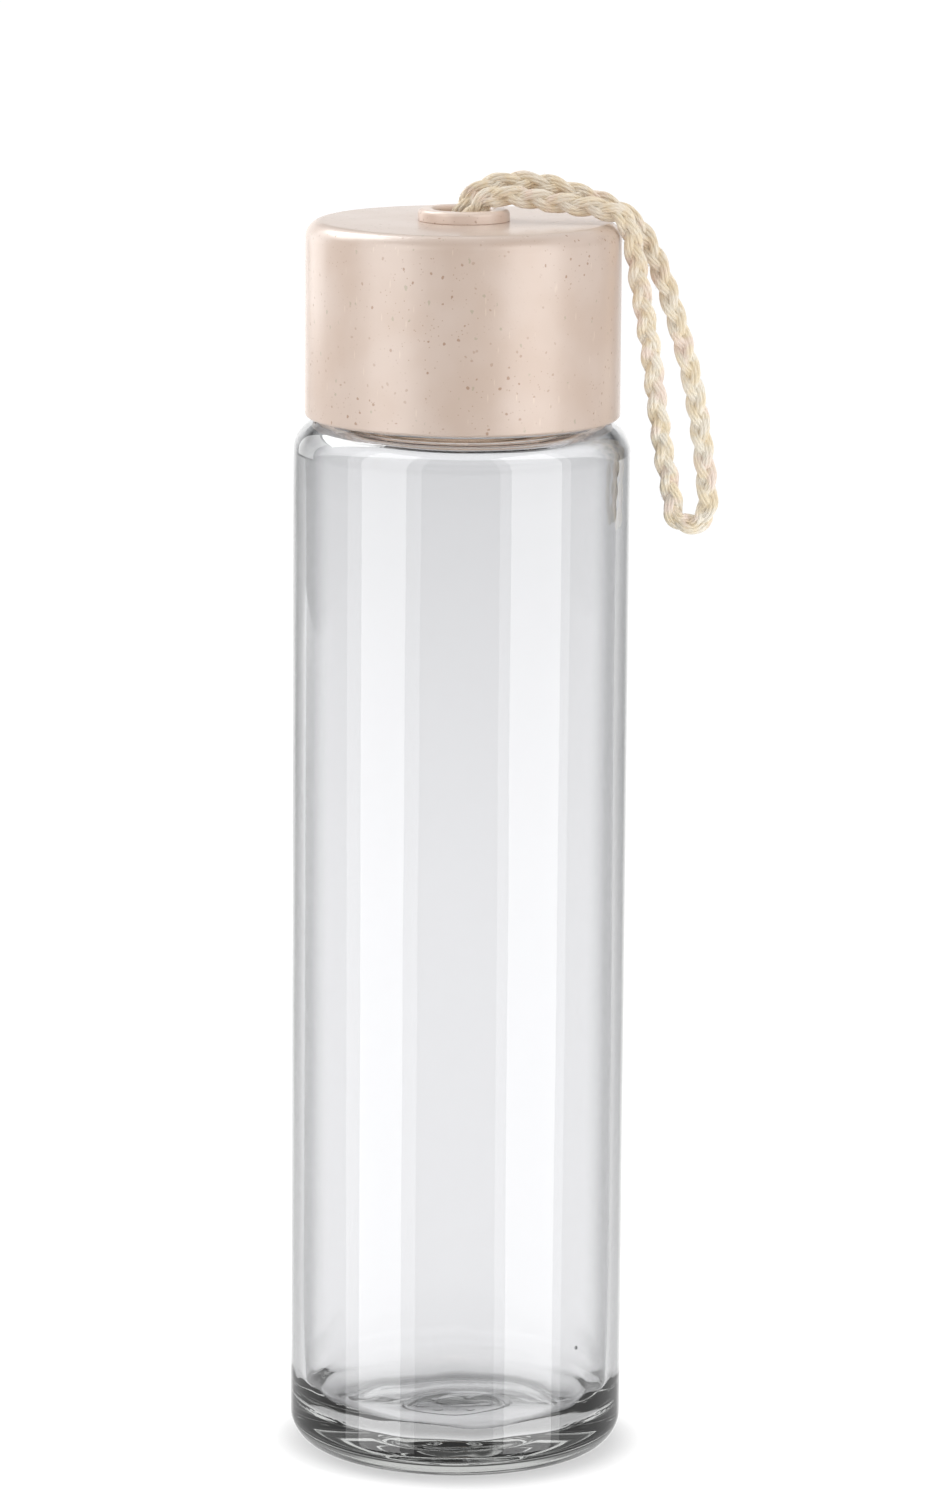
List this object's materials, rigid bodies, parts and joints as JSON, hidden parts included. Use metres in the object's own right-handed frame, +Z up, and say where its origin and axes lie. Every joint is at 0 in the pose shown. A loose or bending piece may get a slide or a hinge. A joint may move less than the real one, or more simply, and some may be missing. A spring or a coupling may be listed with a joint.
{
  "type": "glass drinking bottle",
  "caption": "Slim clear glass drinking bottle with a wide screw cap of speckled composite and a plaited cord loop for carrying.",
  "frame": {"origin": "centre of the standing ring, on the table that the bottle stands on", "axes": "+Z up along the bottle's axis; +X towards the side where the carry loop hangs"},
  "size_m": [0.0779, 0.062, 0.2388],
  "materials": {
    "glass": "clear, polished",
    "silicone": "milky silicone",
    "liner_plastic": "moulded natural plastic",
    "cap_composite": "satin straw-fibre composite with dark specks",
    "bush_composite": "satin straw-fibre composite",
    "cord_cotton": "plaited undyed cotton",
    "knot_cotton": "plaited undyed cotton"
  },
  "bodies": {
    "bottle": {"glass_bottle": "glass"},
    "seal": {"sealing_gasket": "silicone"},
    "cap": {"cap_liner": "liner_plastic", "cap_shell": "cap_composite", "cord_bush": "bush_composite"},
    "cord": {"carry_cord": "cord_cotton", "cord_knot": "knot_cotton"}
  },
  "joints": [
    {"name": "cap_rise", "type": "slide", "parent": "bottle", "child": "seal", "axis": [0, 0, 1], "range_m": [0, 0.01651]},
    {"name": "cap_turn", "type": "hinge", "parent": "seal", "child": "cap", "pos_m": [0, 0, 0.2], "axis": [0, 0, 1], "range_deg": [0, 990]},
    {"name": "cord_swivel", "type": "hinge", "parent": "cap", "child": "cord", "pos_m": [0, 0, 0.23], "axis": [0, 0, 1], "continuous": true}
  ],
  "couplings": [
    {"joint": "cap_rise", "follows": "cap_turn", "m_per_rad": 0.00095493}
  ]
}
